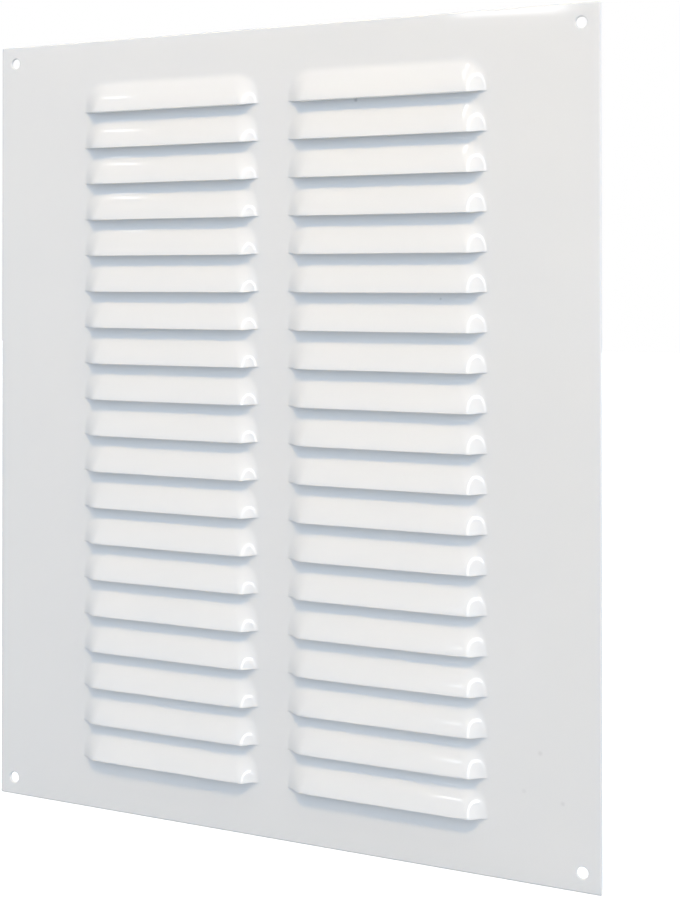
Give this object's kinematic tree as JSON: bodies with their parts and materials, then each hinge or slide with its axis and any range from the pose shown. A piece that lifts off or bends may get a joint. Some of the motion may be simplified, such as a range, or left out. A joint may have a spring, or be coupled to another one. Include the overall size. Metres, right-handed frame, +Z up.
{
  "type": "ventilation grille",
  "caption": "Flat rectangular ventilation grille pressed from one white painted sheet, with columns of louvres that open downward and a screw hole near each corner.",
  "frame": {"origin": "centre of the back face, which lies on the wall", "axes": "+Z up the wall, +X across the grille, +Y into the wall, so the louvres stand out towards -Y and open downward"},
  "size_m": [0.25, 0.0044, 0.3],
  "materials": {
    "white_paint": "smooth gloss white paint on pressed sheet"
  },
  "bodies": {
    "root": {"louvre_panel": "white_paint"}
  },
  "joints": []
}
